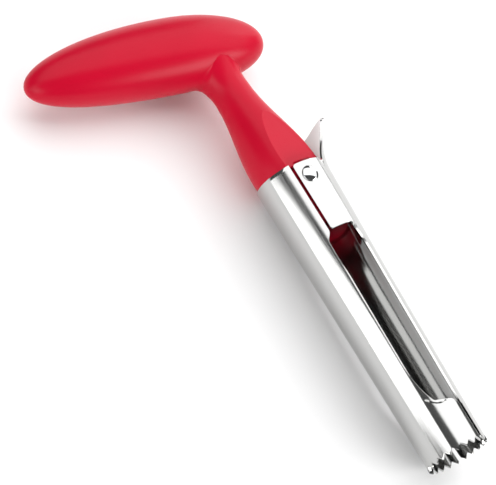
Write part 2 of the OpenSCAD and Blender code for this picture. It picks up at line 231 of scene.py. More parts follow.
def linear(hex_value):
    """An sRGB hex value as a linear colour with alpha."""
    parts = [int(hex_value[i:i + 2], 16) / 255 for i in (0, 2, 4)]
    return [c / 12.92 if c <= 0.04045 else ((c + 0.055) / 1.055) ** 2.4 for c in parts] + [1.0]


def add_node(tree, kind, settings=None, **inputs):
    """Adds a node, sets its settings, and sets or links its inputs by name."""
    node = tree.nodes.new(kind)
    for name, value in (settings or {}).items():
        setattr(node, name, value)
    for name, value in inputs.items():
        socket = node.inputs[name]
        if isinstance(value, bpy.types.NodeSocket):
            tree.links.new(value, socket)
        else:
            socket.default_value = value
    return node


def new_material(name):
    """A material with its Principled shader, and Object coordinates to draw patterns on."""
    material = bpy.data.materials.new(name)
    material.use_nodes = True
    tree = material.node_tree
    shader = tree.nodes["Principled BSDF"]
    where = tree.nodes.new("ShaderNodeTexCoord").outputs["Object"]
    return material, tree, shader, where


def vary_roughness(tree, shader, noise, low, high):
    """Lets a noise vary the shader's roughness between two values."""
    # Noise lies between 0.3 and 0.7 nearly everywhere.
    gloss = add_node(tree, "ShaderNodeMapRange", Value=noise.outputs["Fac"],
                     **{"From Min": 0.3, "From Max": 0.7, "To Min": low, "To Max": high})
    tree.links.new(gloss.outputs[0], shader.inputs["Roughness"])


def drawn_noise(tree, where, width, stretch, detail, roughness):
    """Noise of a given width across the tube, which a small stretch draws out along it."""
    mapping = add_node(tree, "ShaderNodeMapping", Vector=where, Scale=(stretch / width, 1 / width, 1 / width))
    return add_node(tree, "ShaderNodeTexNoise", Vector=mapping.outputs[0], Scale=1.0, Detail=detail,
                    Roughness=roughness)


def drawn_stainless(finish):
    """Stainless steel sheet, drawn and polished along the tube.

    It gives long soft-edged bands of reflection with a faint straight grain, never a clean mirror.
    """
    material, tree, shader, where = new_material("drawn stainless steel")
    shader.inputs["Base Color"].default_value = linear(finish.steel)
    shader.inputs["Metallic"].default_value = 1.0
    # The polishing grain is about 0.05 mm wide on such sheet; it is drawn coarser here so that it shows.
    grain = drawn_noise(tree, where, width=0.35 * MM, stretch=0.02, detail=4.0, roughness=0.6)
    vary_roughness(tree, shader, grain, finish.steel_gloss - 0.03, finish.steel_gloss + 0.05)
    # Rolling leaves the sheet slightly uneven, which bends the edges of the bands.
    wave = drawn_noise(tree, where, width=5 * MM, stretch=0.12, detail=1.0, roughness=0.4)
    unevenness = add_node(tree, "ShaderNodeBump", Strength=0.35, Distance=0.05 * MM, Height=wave.outputs["Fac"])
    brushing = add_node(tree, "ShaderNodeBump", Strength=0.05, Distance=0.02 * MM, Height=grain.outputs["Fac"],
                        Normal=unevenness.outputs[0])
    tree.links.new(brushing.outputs[0], shader.inputs["Normal"])
    return material


def turned_steel(finish):
    """Stainless rivet steel, headed in a die and barrel polished.

    It gives a small bright dome that mirrors the lights, with the faintest haze.
    """
    material, tree, shader, where = new_material("polished rivet steel")
    shader.inputs["Base Color"].default_value = linear(finish.rivet)
    shader.inputs["Metallic"].default_value = 1.0
    haze_width = 0.6 * MM
    haze = add_node(tree, "ShaderNodeTexNoise", Vector=where, Scale=1 / haze_width, Detail=3.0)
    vary_roughness(tree, shader, haze, finish.rivet_gloss, finish.rivet_gloss + 0.05)
    dimple = add_node(tree, "ShaderNodeBump", Strength=0.1, Distance=0.01 * MM, Height=haze.outputs["Fac"])
    tree.links.new(dimple.outputs[0], shader.inputs["Normal"])
    return material


def moulded_plastic(finish):
    """Injection-moulded polypropylene with crimson pigment, from a lightly stoned mould.

    It gives an even, saturated red with a soft satin sheen and broad highlights.
    """
    material, tree, shader, where = new_material("moulded crimson polypropylene")
    cloud_width = 14 * MM
    grain_width = 0.5 * MM
    clouds = add_node(tree, "ShaderNodeTexNoise", Vector=where, Scale=1 / cloud_width, Detail=2.0, Roughness=0.45)
    tint = add_node(tree, "ShaderNodeMix", {"data_type": "RGBA"}, Factor=clouds.outputs["Fac"])
    # The node's sockets for colours share their names with those for numbers, so they are taken by their place.
    first_colour, second_colour, mixed_colour = tint.inputs[6], tint.inputs[7], tint.outputs[2]
    first_colour.default_value = linear(finish.crimson)
    second_colour.default_value = linear(finish.crimson_deep)
    tree.links.new(mixed_colour, shader.inputs["Base Color"])
    # A stoned mould leaves marks of about 0.1 mm; they are drawn 0.5 mm wide so that they soften the sheen.
    grain = add_node(tree, "ShaderNodeTexNoise", Vector=where, Scale=1 / grain_width, Detail=3.0, Roughness=0.6)
    vary_roughness(tree, shader, grain, finish.plastic_gloss - 0.03, finish.plastic_gloss + 0.04)
    skin = add_node(tree, "ShaderNodeBump", Strength=0.08, Distance=0.02 * MM, Height=grain.outputs["Fac"])
    tree.links.new(skin.outputs[0], shader.inputs["Normal"])
    shader.inputs["IOR"].default_value = 1.49
    shader.inputs["Specular IOR Level"].default_value = 0.15
    return material


def paper_floor(finish):
    """Matt white card, which gives a pale, even ground with soft shadows."""
    material, tree, shader, where = new_material("matt white card")
    fibre_width = 3 * MM
    fibres = add_node(tree, "ShaderNodeTexNoise", Vector=where, Scale=1 / fibre_width, Detail=2.0)
    gloss = add_node(tree, "ShaderNodeMapRange", Value=fibres.outputs["Fac"], **{"To Min": 0.85, "To Max": 0.95})
    tree.links.new(gloss.outputs[0], shader.inputs["Roughness"])
    shader.inputs["Base Color"].default_value = linear(finish.floor)
    shader.inputs["Specular IOR Level"].default_value = 0.2
    return material


def spaced(start, end, count):
    """count + 1 evenly spaced values from start to end."""
    return [start + (end - start) * i / count for i in range(count + 1)]


def mix(a, b, t):
    """The value a share t of the way from a to b."""
    return a + (b - a) * t


def ease(t):
    """A smooth step from 0 to 1."""
    t = max(0.0, min(1.0, t))
    return t * t * (3 - 2 * t)


def halve(low, high, is_before):
    """The place between low and high up to which is_before holds, found by halving."""
    for _ in range(40):
        middle = (low + high) / 2
        if is_before(middle):
            low = middle
        else:
            high = middle
    return low


def rounding(inward, radius):
    """How far a rounded corner pulls an edge in, at a distance inward from the corner's end."""
    if inward >= radius:
        return 0.0
    return radius - math.sqrt(max(0.0, radius ** 2 - (radius - inward) ** 2))


def round_edges(bm, edges, width):
    """Rounds edges of a mesh in three steps."""
    bmesh.ops.bevel(bm, geom=edges, offset=width, segments=3, profile=0.5, affect="EDGES", material=-1,
                    clamp_overlap=True)


def finish_piece(bm, name, material, body, slot, *nodes):
    """Turns a mesh drawn from the collar into a finished piece at its place in the frame."""
    bm.transform(Matrix.Translation(COLLAR))
    mesh = bpy.data.meshes.new(name)
    for face in bm.faces:
        face.smooth = True
    bm.to_mesh(mesh)
    bm.free()
    mesh.materials.append(material)
    piece = bpy.data.objects.new(name, mesh)
    bpy.context.collection.objects.link(piece)
    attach(piece, body)
    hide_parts(*nodes)
    return piece


def dress_sheet(piece, tube):
    """Gives a rolled blank its thickness, and breaks its cut edges."""
    wall = piece.modifiers.new("sheet thickness", "SOLIDIFY")
    wall.thickness = tube.sheet
    wall.offset = -1.0
    edge = piece.modifiers.new("broken edges", "BEVEL")
    edge.width = tube.cut_round
    edge.segments = 2
    edge.limit_method = "ANGLE"
    edge.angle_limit = math.radians(50)
    even = piece.modifiers.new("even shading", "WEIGHTED_NORMAL")
    even.keep_sharp = True


def tube_r(tube, x):
    """Outer radius of the tapered tube at a distance x from the collar."""
    return tube.collar_r + (tube.mouth_r - tube.collar_r) * x / tube.length


def seam_y(tube, x):
    """Height before the axis of the upper seam, on the jaw's side of its gap."""
    return -tube.seam_back + math.tan(tube.seam_lean) * x


def lower_seam_y(tube, x):
    """Height before the axis of the lower seam, on the jaw's side of its gap."""
    return tube.lower_front + math.tan(tube.lower_lean) * (x - tube.window_end - tube.foot_drop)


def side_angle(tube, x, y):
    """Angle round the tube, from its front, of a point seen from the side at height y before the axis."""
    return math.acos(max(-1.0, min(1.0, y / tube_r(tube, x))))


def tooth_columns(tube, first, last):
    """Angles of a blank's columns at the mouth, with one on every tooth's tip and valley."""
    columns_per_tooth = 8
    step = 2 * math.pi / tube.teeth / columns_per_tooth
    clear = 0.4 * step
    inner = [k * step for k in range(math.floor(first / step), math.ceil(last / step) + 1)
             if first + clear < k * step < last - clear]
    return [first] + inner + [last]


def notch(tube, turn):
    """Depth of the saw-tooth edge at an angle round the mouth."""
    phase = (turn * tube.teeth / (2 * math.pi)) % 1.0
    return tube.tooth_depth * (1 - abs(2 * phase - 1))


def tooth_x(tube, x, turn):
    """Draws the last rows of a blank up to its saw-tooth edge."""
    drawn_depths = 1.3
    root = tube.length - drawn_depths * tube.tooth_depth
    if x <= root:
        return x
    return root + (x - root) * (tube.length - notch(tube, turn) - root) / (tube.length - root)


def blank(rows, columns):
    """A flat grid of sheet, and its vertices by row and column."""
    bm = bmesh.new()
    bmesh.ops.create_grid(bm, x_segments=columns, y_segments=rows, size=1.0)
    bm.verts.ensure_lookup_table()
    wide = columns + 1
    return bm, [bm.verts[i * wide:(i + 1) * wide] for i in range(rows + 1)]


def face_outwards(bm, tube):
    """Turns the rolled blank's faces away from the tube's axis."""
    face = min(bm.faces, key=lambda f: abs(f.calc_center_median().x - tube.length / 2))
    middle = face.calc_center_median()
    if face.normal.dot(Vector((0, middle.y, middle.z))) < 0:
        bmesh.ops.reverse_faces(bm, faces=bm.faces)


def shell_edge(tube):
    """The rear shell's front edge seen from the side, as points from the collar to the mouth.

    It also gives the rows between which the edge curves, so that the rows behind it can be evened out.
    """
    seam_rows, step_rows, window_rows, curve_rows, horn_rows, foot_rows = 24, 10, 46, 20, 10, 24
    rows_before_curve, rows_after_curve = 6, 12
    step_y = seam_y(tube, tube.window_top) - tube.seam_gap
    step_x = tube.window_top + tube.window_step
    curve_x = tube.window_end - tube.window_curve
    foot_x = tube.window_end + tube.foot_drop
    foot_y = tube.lower_front - tube.lower_gap
    seam = [(x, seam_y(tube, x) - tube.seam_gap) for x in spaced(0.0, tube.window_top, seam_rows)]
    seam += [(mix(tube.window_top, step_x, t), mix(step_y, -tube.window_back, ease(t)))
             for t in spaced(0.0, 1.0, step_rows)[1:]]
    rear = [(x, -tube.window_back) for x in spaced(step_x, curve_x, window_rows)[1:]]
    curve_drop = tube.window_back - tube.curve_back
    curve = [(curve_x + tube.window_curve * math.sin(a), -tube.curve_back - curve_drop * math.cos(a))
             for a in spaced(0.0, math.pi / 2, curve_rows)[1:]]
    horn = []
    for t in spaced(0.0, 1.0, horn_rows)[1:]:
        start, pull, end = (1 - t) ** 2, 2 * t * (1 - t), t * t
        x = start * tube.window_end + pull * (tube.window_end - tube.horn_rise) + end * foot_x
        y = start * -tube.curve_back + pull * foot_y / 2 + end * foot_y
        horn.append((x, y))
    seam_end = [(x, lower_seam_y(tube, x) - tube.lower_gap) for x in spaced(foot_x, tube.length, foot_rows)[1:]]
    edge = seam + rear + curve + horn + seam_end
    curve_row = len(seam) + len(rear) - rows_before_curve
    calm_row = len(edge) - rows_after_curve
    return edge, curve_row, calm_row


class CORER_OT_rear_shell(bpy.types.Operator):
    """Rolls the rear half of the toothed tube"""

    bl_idname = "corer.rear_shell"
    bl_label = "Rear shell"

    def execute(self, context):
        tube = context.scene.corer_tube
        # Behind the curved part of the edge, the rows even out over this share of the width.
        even_share = 0.3
        edge, curve_row, calm_row = shell_edge(tube)
        mouth = side_angle(tube, tube.length, lower_seam_y(tube, tube.length) - tube.lower_gap)
        turns = tooth_columns(tube, mouth, 2 * math.pi - mouth)
        shares = [(a - mouth) / (2 * math.pi - 2 * mouth) for a in turns]
        bm, grid = blank(len(edge) - 1, len(turns) - 1)
        for i, (edge_x, edge_y) in enumerate(edge):
            start = side_angle(tube, edge_x, edge_y)
            back_x = edge_x
            if curve_row < i < calm_row:
                back_x = mix(edge[curve_row][0], edge[calm_row][0], (i - curve_row) / (calm_row - curve_row))
            for vertex, part in zip(grid[i], shares):
                turn = mix(start, 2 * math.pi - start, part)
                x = mix(edge_x, back_x, ease(min(part, 1 - part) / even_share))
                x = tooth_x(tube, x, turn)
                r = tube_r(tube, x)
                vertex.co = (x, r * math.cos(turn), r * math.sin(turn))
        face_outwards(bm, tube)
        steel = bpy.data.materials["drawn stainless steel"]
        piece = finish_piece(bm, "rolled_rear_shell", steel, "handle_body", "polished_steel", "rear_shell")
        dress_sheet(piece, tube)
        return {"FINISHED"}


def strip_edge(tube):
    """Rows of the jaw from the mouth up to the windows' top edge, as (x, y) of its side edge."""
    foot_rows, sweep_rows, strip_rows = 20, 12, 40
    foot_x = tube.window_end + tube.foot_drop
    low_x = foot_x - tube.lower_sweep
    high_x = tube.window_top + tube.upper_sweep
    low_y = tube_r(tube, low_x) - tube.strip
    high_y = tube_r(tube, high_x) - tube.strip
    low_drop = low_y - tube.lower_front
    high_drop = high_y - tube.window_front
    low_r = (tube.lower_sweep ** 2 + low_drop ** 2) / (2 * low_drop)
    high_r = (tube.upper_sweep ** 2 + high_drop ** 2) / (2 * high_drop)
    rows = [(x, lower_seam_y(tube, x)) for x in spaced(tube.length, foot_x, foot_rows)]
    for a in spaced(math.asin(tube.lower_sweep / low_r), 0.0, sweep_rows)[1:]:
        rows.append((low_x + low_r * math.sin(a), low_y - low_r * (1 - math.cos(a))))
    for x in spaced(low_x, high_x, strip_rows)[1:]:
        rows.append((x, tube_r(tube, x) - tube.strip))
    for a in spaced(0.0, math.asin(tube.upper_sweep / high_r), sweep_rows)[1:]:
        rows.append((high_x - high_r * math.sin(a), high_y - high_r * (1 - math.cos(a))))
    return rows


def flare(tube, tab, x):
    """How far the tab's sheet stands off the tapered tube, at a distance x from the collar."""
    if x >= tab.flare_start:
        return 0.0
    start_r = tube_r(tube, tab.flare_start)
    bend_x = tab.flare_start - tab.flare_r * math.sin(tab.lean)
    if x > bend_x:
        r = start_r + tab.flare_r - math.sqrt(tab.flare_r ** 2 - (tab.flare_start - x) ** 2)
    else:
        r = start_r + tab.flare_r * (1 - math.cos(tab.lean)) + (bend_x - x) * math.tan(tab.lean)
    return r - tube_r(tube, x)


def swell(tab, x, turn):
    """How far the jaw's front is pressed out beyond the plain taper."""
    reach = tab.swell_below if x > tab.swell_x else tab.swell_above
    return tab.swell * ease(1 - abs(x - tab.swell_x) / reach) * ease(1 - abs(turn) / tab.swell_reach)


def crown_x(tab, z):
    """The tab's crowned top edge, seen from the front."""
    r = (tab.tip_half ** 2 + tab.crown ** 2) / (2 * tab.crown)
    return -tab.rise + r - math.sqrt(r * r - z * z)


def tab_point(tube, tab, part, climb):
    """Place and angle on the tab: part runs across it from -1 to 1, and climb from its notch to its top edge."""
    # The rounded corners take up the outer tenth of the crown.
    crown_share = 0.9
    top = crown_x(tab, part * tab.tip_half * crown_share)
    x = mix(tab.notch_x, top, climb)
    along = (tab.root_x - x) / (tab.root_x + tab.rise - tab.crown)
    half = mix(tab.root_half, tab.tip_half, min(1.0, along)) - rounding(x - top, tab.corner_r)
    r = tube_r(tube, x) + flare(tube, tab, x)
    return x, math.asin(part * half / r)


def ear_top(tube, tab, y):
    """The ears' top edge, which drops a little towards the notch and rises a little towards the seam."""
    seam_rise = 0.1 * MM
    notch_reach = 8 * MM
    return tab.ear_top + seam_rise * min(0.0, y) / tube.seam_back + tab.ear_drop * max(0.0, y) / notch_reach


class CORER_OT_jaw(bpy.types.Operator):
    """Rolls the jaw: the ears, the thumb tab, the front strip and the toothed foot"""

    bl_idname = "corer.jaw"
    bl_label = "Jaw and thumb tab"

    def execute(self, context):
        tube = context.scene.corer_tube
        tab = context.scene.corer_tab
        strip_rows = strip_edge(tube)
        # Rows crowd towards the ears' lower corners and towards the tab's crowned edge.
        corner = [tube.window_top - tab.foot_corner * s for s in (0.04, 0.16, 0.36, 0.64, 1.0)]
        straight_rows = 24
        ear_rows = corner + spaced(corner[-1], tab.root_x, straight_rows)[1:]
        climbs = spaced(0.0, 0.9, 16) + [0.925, 0.95, 0.97, 0.985, 0.995, 1.0]
        mouth = side_angle(tube, tube.length, lower_seam_y(tube, tube.length))
        shares = [a / mouth for a in tooth_columns(tube, -mouth, mouth) if a >= -1e-9]
        inner = len(shares) - 1
        ear_columns = 20
        gap_columns = 4
        beside_columns = 4
        tab_columns = inner - gap_columns - beside_columns
        last = inner + ear_columns
        rows = len(strip_rows) + len(ear_rows) + len(climbs)
        bm, grid = blank(rows - 1, 2 * last)

        window = side_angle(tube, tube.window_top, tube.window_front)
        root_turn = tab_point(tube, tab, 1.0, 0.0)[1]
        notch_turn = root_turn + 2 * tab.notch_r / tube_r(tube, tab.notch_x)

        def root_angle(column):
            """Angle of a column at the tab's root."""
            if column <= tab_columns:
                return tab_point(tube, tab, column / tab_columns, 0.0)[1]
            if column <= tab_columns + gap_columns:
                return mix(root_turn, notch_turn, (column - tab_columns) / gap_columns)
            outer = tab_columns + gap_columns
            return mix(notch_turn, window, (column - outer) / (inner - outer))

        def ear_angle(x, column, top=0.0):
            """Angle of an ear's column at a distance x from the collar."""
            rear = side_angle(tube, x, seam_y(tube, x))
            rear -= rounding(tube.window_top - x, tab.foot_corner) / tube_r(tube, x)
            rear -= rounding(x - top, tab.ear_corner) / tube_r(tube, x)
            return mix(window, rear, (column - inner) / ear_columns)

        def stand_off(x, column, turn):
            """How far the sheet stands off the taper. The flare fades out beside the tab."""
            beside = ease(1 - (column - tab_columns) / gap_columns) if column > tab_columns else 1.0
            return flare(tube, tab, x) * beside + swell(tab, x, turn)

        def place(row, column, x, turn):
            """Puts the column's vertices on both sides of the front."""
            r = tube_r(tube, x) + stand_off(x, column, turn)
            for side in (-1, 1):
                grid[row][last + side * column].co = (x, r * math.cos(turn), side * r * math.sin(turn))

        row = 0
        for edge_x, edge_y in strip_rows:
            edge = side_angle(tube, edge_x, edge_y)
            for column in range(last + 1):
                turn = edge * shares[min(column, inner)]
                place(row, column, tooth_x(tube, edge_x, turn), turn)
            row += 1
        windows_top = row - 1
        for column in range(inner, last + 1):
            place(windows_top, column, tube.window_top, ear_angle(tube.window_top, column))
        for x in ear_rows:
            rise = ease((tube.window_top - x) / (tube.window_top - tab.root_x))
            for column in range(last + 1):
                if column <= inner:
                    turn = mix(window * shares[column], root_angle(column), rise)
                else:
                    turn = ear_angle(x, column)
                place(row, column, x, turn)
            row += 1
        notch_row = row
        for climb in climbs:
            for column in range(last + 1):
                if column <= tab_columns:
                    x, turn = tab_point(tube, tab, column / tab_columns, climb)
                elif column < tab_columns + gap_columns:
                    round_notch = math.sin(math.pi * (column - tab_columns) / gap_columns)
                    x, turn = tab.notch_x + tab.notch_r * round_notch, root_angle(column)
                else:
                    turn = root_angle(column) if column <= inner else ear_angle(tab.notch_x, column)
                    top = ear_top(tube, tab, tube_r(tube, 0.0) * math.cos(turn))
                    x = mix(tab.notch_x, top, climb)
                    if column > inner:
                        turn = ear_angle(x, column, top)
                place(row, column, x, turn)
            row += 1

        spare = []
        for face in bm.faces:
            cells = [divmod(v.index, 2 * last + 1) for v in face.verts]
            low_row = min(c[0] for c in cells)
            columns = [abs(c[1] - last) for c in cells]
            beside_strip = low_row < windows_top and max(columns) > inner
            beside_tab = tab_columns <= min(columns) and max(columns) <= tab_columns + gap_columns
            if beside_strip or (beside_tab and low_row >= notch_row):
                spare.append(face)
        bmesh.ops.delete(bm, geom=spare, context="FACES")
        face_outwards(bm, tube)
        steel = bpy.data.materials["drawn stainless steel"]
        piece = finish_piece(bm, "rolled_jaw", steel, "jaw_body", "polished_steel", "jaw")
        dress_sheet(piece, tube)
        return {"FINISHED"}


def grip_middle(handle, s):
    """The grip's middle line, s along it from the long end."""
    lean = handle.raise_angle
    bow = handle.bow * 4 * s / handle.grip_len * (1 - s / handle.grip_len)
    x = -handle.grip_rise - (handle.grip_len * math.cos(lean) - handle.front) * math.tan(lean)
    y = handle.front - handle.grip_len * math.cos(lean)
    x += s * math.sin(lean) - bow * math.cos(lean)
    y += s * math.cos(lean) + bow * math.sin(lean)
    return Vector((x, y, 0))


def grip_point(handle, ball):
    """The grip's surface at a point of the unit ball, whose Y runs from the long end to the short end."""
    lean = handle.raise_angle
    long_part = handle.grip_len * handle.belly
    short_part = handle.grip_len - long_part
    far = min(1.0, abs(ball.y)) ** (2 / handle.fullness)
    s = long_part - long_part * far if ball.y < 0 else long_part + short_part * far
    girth = max(0.0, 1 - min(1.0, abs(ball.y)) ** 2) ** (1 / handle.fullness)
    flat = math.hypot(ball.x, ball.z) or 1.0
    down = Vector((math.cos(lean), -math.sin(lean), 0)) * (handle.grip_h / 2 * ball.x / flat)
    side = Vector((0, 0, 1)) * (handle.grip_w / 2 * ball.z / flat)
    return grip_middle(handle, s) + girth * (down + side)


def neck_radius(handle, h):
    """The neck's radius at a height h above the collar: it narrows to the waist and spreads under the grip."""
    fullness = 1.08
    spread = 45 * MM
    t = h / handle.waist_rise
    if t < 1:
        bell = (1 + math.cos(math.pi * max(0.0, t) ** fullness)) / 2
        return handle.waist_r + (handle.neck_r - handle.waist_r) * bell
    return handle.waist_r + (h - handle.waist_rise) ** 2 / spread


def neck_shift(handle, h):
    """How far the neck's middle lies behind the tube's axis at a height h above the collar."""
    bend = 0.95
    upper_slope = 1 / 6
    t = h / handle.waist_rise
    if t < 1:
        return handle.set_back + (handle.lean_back - handle.set_back) * max(0.0, t) ** bend
    return handle.lean_back + (h - handle.waist_rise) * upper_slope


def neck_point(handle, h, turn):
    """The neck's round surface at a height h above the collar, at an angle from the front."""
    r = neck_radius(handle, h)
    return Vector((-h, r * math.cos(turn) - neck_shift(handle, h), r * math.sin(turn)))


def facet_plane(handle):
    """A point and the outward direction of the flat facet on the neck's camera side."""
    def side_z(h, y):
        return math.sqrt(neck_radius(handle, h) ** 2 - (y + neck_shift(handle, h)) ** 2)

    foot = Vector((0, -handle.crease_y, side_z(0.0, -handle.crease_y)))
    head = Vector((-handle.crease_rise, -handle.crease_head_y, side_z(handle.crease_rise, -handle.crease_head_y)))
    climb = (math.tan(handle.facet_turn) * (head.y - foot.y) + head.z - foot.z) / (foot.x - head.x)
    out = Vector((0, math.sin(handle.facet_turn), math.cos(handle.facet_turn)))
    return foot, Matrix.Rotation(math.asin(climb), 3, "Y") @ out


def cut_facets(bm, handle):
    """Planes the two side facets of the neck, and softens the crease where each meets the round face."""
    foot, out = facet_plane(handle)
    below_waist = 2 * MM
    for side in (1, -1):
        faces = [f for f in bm.faces if all(v.co.x > -handle.waist_rise + below_waist for v in f.verts)]
        edges = {e for f in faces for e in f.edges}
        verts = {v for f in faces for v in f.verts}
        cut = bmesh.ops.bisect_plane(
            bm, geom=list(verts) + list(edges) + faces, dist=1e-7,
            plane_co=(foot.x, foot.y, side * foot.z), plane_no=(out.x, out.y, side * out.z), clear_outer=True)
        rim = [e for e in cut["geom_cut"] if isinstance(e, bmesh.types.BMEdge)]
        bmesh.ops.contextual_create(bm, geom=rim)
        crease = [e for e in rim if e.is_valid and any(v.co.x < handle.neck_foot - 1e-6 for v in e.verts)]
        round_edges(bm, crease, handle.crease_round)


class CORER_OT_handle(bpy.types.Operator):
    """Moulds the handle: the egg-shaped grip, the neck with its side facets, and the plug"""

    bl_idname = "corer.handle"
    bl_label = "Moulded handle"

    def execute(self, context):
        handle = context.scene.corer_handle
        round_steps = 128
        rings = 84
        fillet_rows = 8
        neck_rows = 40

        # The ball's pole is turned to the place where the neck meets the grip.
        meeting_rise = 4 * MM
        neck_y = -neck_shift(handle, handle.waist_rise + meeting_rise)
        pole_y = halve(0.0, 1.0, lambda y: grip_point(handle, Vector((math.sqrt(1 - y ** 2), y, 0))).y < neck_y)
        turn_ball = Matrix.Rotation(math.asin(pole_y), 3, "Z")

        def on_grip(polar, around):
            out = math.sin(polar)
            ball = Vector((math.cos(polar), out * math.cos(around), out * math.sin(around)))
            return grip_point(handle, turn_ball @ ball)

        def reach(around):
            """Distance from the neck's middle at which its fillet meets the grip."""
            front = (1 + math.cos(around)) / 2
            return handle.waist_r + mix(handle.fillet_rear, handle.fillet_front, ease(front))

        def under_fillet(polar, around):
            p = on_grip(polar, around)
            return math.hypot(p.y - neck_y, p.z) < reach(around)

        bm = bmesh.new()
        bmesh.ops.create_uvsphere(bm, u_segments=round_steps, v_segments=rings, radius=1.0)
        pole = max(bm.verts, key=lambda v: v.co.z)
        bmesh.ops.delete(bm, geom=[pole], context="VERTS")
        ring_step = math.pi / rings
        starts = {}
        for vertex in bm.verts:
            polar = math.acos(max(-1.0, min(1.0, vertex.co.z)))
            around = math.atan2(vertex.co.y, vertex.co.x)
            key = round(around * round_steps / (2 * math.pi)) % round_steps
            if key not in starts:
                starts[key] = halve(0.0, math.pi / 2, lambda p: under_fillet(p, around))
            # The rings run from the fillet's edge to the far side of the grip.
            part = (polar - ring_step) / (math.pi - ring_step)
            vertex.co = on_grip(mix(starts[key], math.pi, part), around)
        loop = [e for e in bm.edges if e.is_boundary]

        ring = {v for e in loop for v in e.verts}
        profiles = {}
        for vertex in ring:
            top = vertex.co.copy()
            turn = math.atan2(top.z, top.y - neck_y)
            # The tangent of the grip's skin towards the neck, from the next ring out.
            outer = max((e.other_vert(vertex) for e in vertex.link_edges if e.other_vert(vertex) not in ring),
                        key=lambda v: (v.co - top).length)
            tangent = (top - outer.co).normalized()
            radial = Vector((0, math.cos(turn), math.sin(turn)))
            fall = max(1e-4, -tangent.dot(radial))
            depth = math.hypot(top.y - neck_y, top.z) - neck_radius(handle, -top.x)
            knee_h = -(top + tangent * (depth / fall)).x
            profiles[vertex] = (top, knee_h, knee_h - depth, turn)

        def side_point(profile, row):
            """A point of the side's profile, from the grip through the fillet and down the neck."""
            top, knee_h, wall_h, turn = profile
            wall = neck_point(handle, wall_h, turn)
            knee = neck_point(handle, knee_h, turn)
            if row <= fillet_rows:
                t = row / fillet_rows
                return (1 - t) ** 2 * top + 2 * t * (1 - t) * knee + t * t * wall
            t = (row - fillet_rows) / neck_rows
            return neck_point(handle, mix(wall_h, -handle.neck_foot, t), turn)

        current = {v: v for v in ring}
        for row in range(1, fillet_rows + neck_rows + 1):
            grown = bmesh.ops.extrude_edge_only(bm, edges=loop)
            new_verts = [g for g in grown["geom"] if isinstance(g, bmesh.types.BMVert)]
            new_edges = [g for g in grown["geom"] if isinstance(g, bmesh.types.BMEdge)]
            new_set = set(new_verts)
            fresh = {}
            for start, vertex in current.items():
                fresh[start] = next(e.other_vert(vertex) for e in vertex.link_edges
                                    if e.other_vert(vertex) in new_set)
            for start, vertex in fresh.items():
                vertex.co = side_point(profiles[start], row)
            current = fresh
            loop = [e for e in new_edges if all(v in new_set for v in e.verts)]
        bmesh.ops.contextual_create(bm, geom=loop)
        bmesh.ops.recalc_face_normals(bm, faces=bm.faces)
        cut_facets(bm, handle)
        self.add_plug(bm, handle)
        plastic = bpy.data.materials["moulded crimson polypropylene"]
        piece = finish_piece(bm, "moulded_handle", plastic, "handle_body", "crimson_plastic", "handle")
        even = piece.modifiers.new("even shading", "WEIGHTED_NORMAL")
        even.keep_sharp = True
        return {"FINISHED"}

    def add_plug(self, bm, handle):
        """The plug, round which the tube's halves are held."""
        overlap = 1 * MM
        end_round = 0.4 * MM
        middle = Matrix.Translation(((handle.plug_len - overlap) / 2, 0, 0))
        bmesh.ops.create_cone(
            bm, cap_ends=True, cap_tris=False, segments=96, radius1=handle.plug_r, radius2=handle.plug_r,
            depth=handle.plug_len + overlap, matrix=middle @ Matrix.Rotation(math.pi / 2, 4, "Y"))
        face = min(bm.faces, key=lambda f: abs(f.calc_center_median().x - handle.plug_len))
        round_edges(bm, list(face.edges), end_round)


class CORER_OT_rivet(bpy.types.Operator):
    """Turns the hinge rivet, with a domed head at each end"""

    bl_idname = "corer.rivet"
    bl_label = "Hinge rivet"

    def execute(self, context):
        rivet = context.scene.corer_rivet
        tube = context.scene.corer_tube
        dome_rows = 14
        steps = 96
        rim_round = 0.12 * MM
        place_x = HINGE.x - COLLAR.x
        ear_r = tube_r(tube, place_x)
        seat = ear_r + rivet.play
        dome_r = (rivet.head_r ** 2 + (rivet.head_h - rivet.rim) ** 2) / (2 * (rivet.head_h - rivet.rim))
        sweep = math.asin(rivet.head_r / dome_r)
        top = seat + rivet.head_h
        half = [(dome_r * math.sin(a), top - dome_r * (1 - math.cos(a))) for a in spaced(0.0, sweep, dome_rows)]
        half += [(rivet.head_r, seat), (rivet.shank_r, seat)]
        chain = half + [(r, -z) for r, z in reversed(half)]
        bm = bmesh.new()
        verts = [bm.verts.new((place_x + r, 0, z)) for r, z in chain]
        edges = [bm.edges.new(pair) for pair in zip(verts, verts[1:])]
        bmesh.ops.spin(bm, geom=verts + edges, cent=(place_x, 0, 0), axis=(0, 0, 1), angle=2 * math.pi,
                       steps=steps, use_merge=True, use_duplicate=False)
        bmesh.ops.remove_doubles(bm, verts=bm.verts, dist=1e-6)
        # The heads' rims are swaged down onto the curved ears.
        for vertex in bm.verts:
            out = math.hypot(vertex.co.x - place_x, vertex.co.y)
            if abs(abs(vertex.co.z) - seat) < 1e-6 and out > rivet.shank_r * 1.1:
                drop = ear_r - math.sqrt(ear_r ** 2 - vertex.co.y ** 2)
                vertex.co.z -= math.copysign(drop, vertex.co.z)
        bmesh.ops.recalc_face_normals(bm, faces=bm.faces)
        rims = [e for e in bm.edges if len(e.link_faces) == 2 and e.calc_face_angle() > math.radians(40)]
        round_edges(bm, rims, rim_round)
        steel = bpy.data.materials["polished rivet steel"]
        finish_piece(bm, "domed_rivet", steel, "handle_body", "rivet_steel", "hinge_rivet")
        return {"FINISHED"}


class CORER_OT_finishes(bpy.types.Operator):
    """Mixes the materials that the pieces wear"""

    bl_idname = "corer.finishes"
    bl_label = "Finishes"

    def execute(self, context):
        finish = context.scene.corer_finish
        for make in (drawn_stainless, turned_steel, moulded_plastic, paper_floor):
            make(finish)
        return {"FINISHED"}


